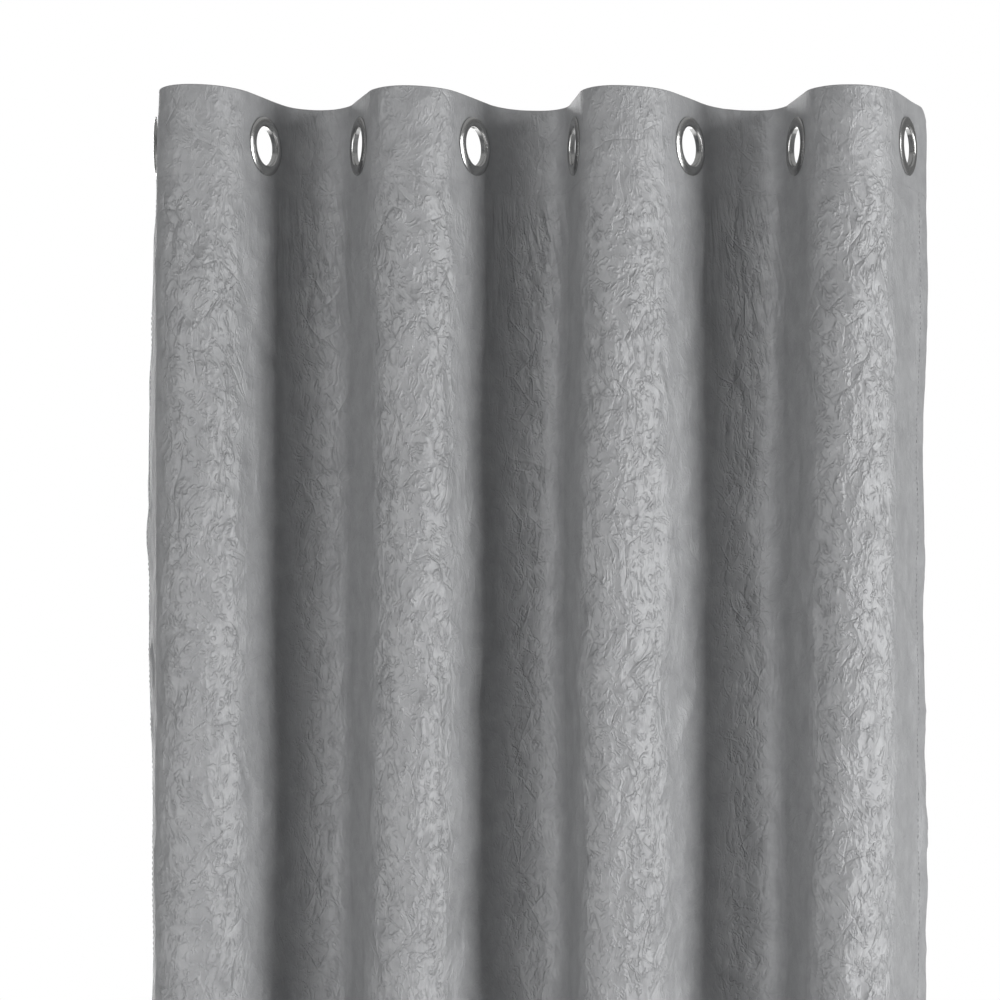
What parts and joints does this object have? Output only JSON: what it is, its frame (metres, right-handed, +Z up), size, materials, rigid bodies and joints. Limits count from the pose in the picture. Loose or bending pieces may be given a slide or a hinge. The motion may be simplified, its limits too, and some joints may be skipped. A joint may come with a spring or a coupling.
{
  "type": "eyelet curtain panel",
  "caption": "Eyelet curtain panel in crushed satin cloth, hung in deep folds, with metal eyelets and stitched hems.",
  "frame": {"origin": "on the curtain rod's axis, where it passes near the middle of the hanging panel", "axes": "+X along the rod, to the right as seen from the room; -Y faces the room; +Z up"},
  "size_m": [0.8698, 0.136, 2.5],
  "materials": {
    "fabric": "crushed satin",
    "heading_tape": "woven stiffener",
    "thread": "sewing thread",
    "eyelet_metal": "bright nickel"
  },
  "bodies": {
    "panel": {"face_fabric": "fabric", "heading_stiffener": "heading_tape", "heading_facing": "fabric", "bottom_hem": "fabric", "side_hem_left": "fabric", "side_hem_right": "fabric", "heading_stitching": "thread", "bottom_hem_stitching": "thread", "side_hem_stitching_left": "thread", "side_hem_stitching_right": "thread"},
    "eyelet_1": {"eyelet_1_front": "eyelet_metal", "eyelet_1_back": "eyelet_metal"},
    "eyelet_2": {"eyelet_2_front": "eyelet_metal", "eyelet_2_back": "eyelet_metal"},
    "eyelet_3": {"eyelet_3_front": "eyelet_metal", "eyelet_3_back": "eyelet_metal"},
    "eyelet_4": {"eyelet_4_front": "eyelet_metal", "eyelet_4_back": "eyelet_metal"},
    "eyelet_5": {"eyelet_5_front": "eyelet_metal", "eyelet_5_back": "eyelet_metal"},
    "eyelet_6": {"eyelet_6_front": "eyelet_metal", "eyelet_6_back": "eyelet_metal"},
    "eyelet_7": {"eyelet_7_front": "eyelet_metal", "eyelet_7_back": "eyelet_metal"},
    "eyelet_8": {"eyelet_8_front": "eyelet_metal", "eyelet_8_back": "eyelet_metal"}
  },
  "joints": [
    {"name": "draw", "type": "hinge", "parent": "panel", "child": "eyelet_1", "pos_m": [-0.419, 0, -0.007], "axis": [0, 0, -1], "range_deg": [0, 5.97], "deforming": ["face_fabric", "heading_stiffener", "heading_facing", "bottom_hem", "side_hem_left", "side_hem_right", "heading_stitching", "bottom_hem_stitching", "side_hem_stitching_left", "side_hem_stitching_right"]},
    {"name": "draw_eyelet_2", "type": "hinge", "parent": "eyelet_1", "child": "eyelet_2", "pos_m": [-0.34995, -0.20211, -0.007], "axis": [0, 0, 1], "range_deg": [0, 19.87]},
    {"name": "draw_eyelet_3", "type": "hinge", "parent": "eyelet_2", "child": "eyelet_3", "pos_m": [-0.25027, 0.13361, -0.007], "axis": [0, 0, -1], "range_deg": [0, 25.62]},
    {"name": "draw_eyelet_4", "type": "hinge", "parent": "eyelet_3", "child": "eyelet_4", "pos_m": [-0.12878, -0.14577, -0.007], "axis": [0, 0, 1], "range_deg": [0, 28.71]},
    {"name": "draw_eyelet_5", "type": "hinge", "parent": "eyelet_4", "child": "eyelet_5", "pos_m": [-0.02739, 0.1701, -0.007], "axis": [0, 0, -1], "range_deg": [0, 21.78]},
    {"name": "draw_eyelet_6", "type": "hinge", "parent": "eyelet_5", "child": "eyelet_6", "pos_m": [0.11891, -0.1765, -0.007], "axis": [0, 0, 1], "range_deg": [0, 24.14]},
    {"name": "draw_eyelet_7", "type": "hinge", "parent": "eyelet_6", "child": "eyelet_7", "pos_m": [0.21131, 0.16261, -0.007], "axis": [0, 0, -1], "range_deg": [0, 24.14]},
    {"name": "draw_eyelet_8", "type": "hinge", "parent": "eyelet_7", "child": "eyelet_8", "pos_m": [0.35849, -0.19323, -0.007], "axis": [0, 0, 1], "range_deg": [0, 21.28]}
  ],
  "couplings": [
    {"joint": "draw_eyelet_2", "follows": "draw", "ratio": 3.3304},
    {"joint": "draw_eyelet_3", "follows": "draw", "ratio": 4.2944},
    {"joint": "draw_eyelet_4", "follows": "draw", "ratio": 4.8131},
    {"joint": "draw_eyelet_5", "follows": "draw", "ratio": 3.6507},
    {"joint": "draw_eyelet_6", "follows": "draw", "ratio": 4.0458},
    {"joint": "draw_eyelet_7", "follows": "draw", "ratio": 4.0458},
    {"joint": "draw_eyelet_8", "follows": "draw", "ratio": 3.5673}
  ]
}
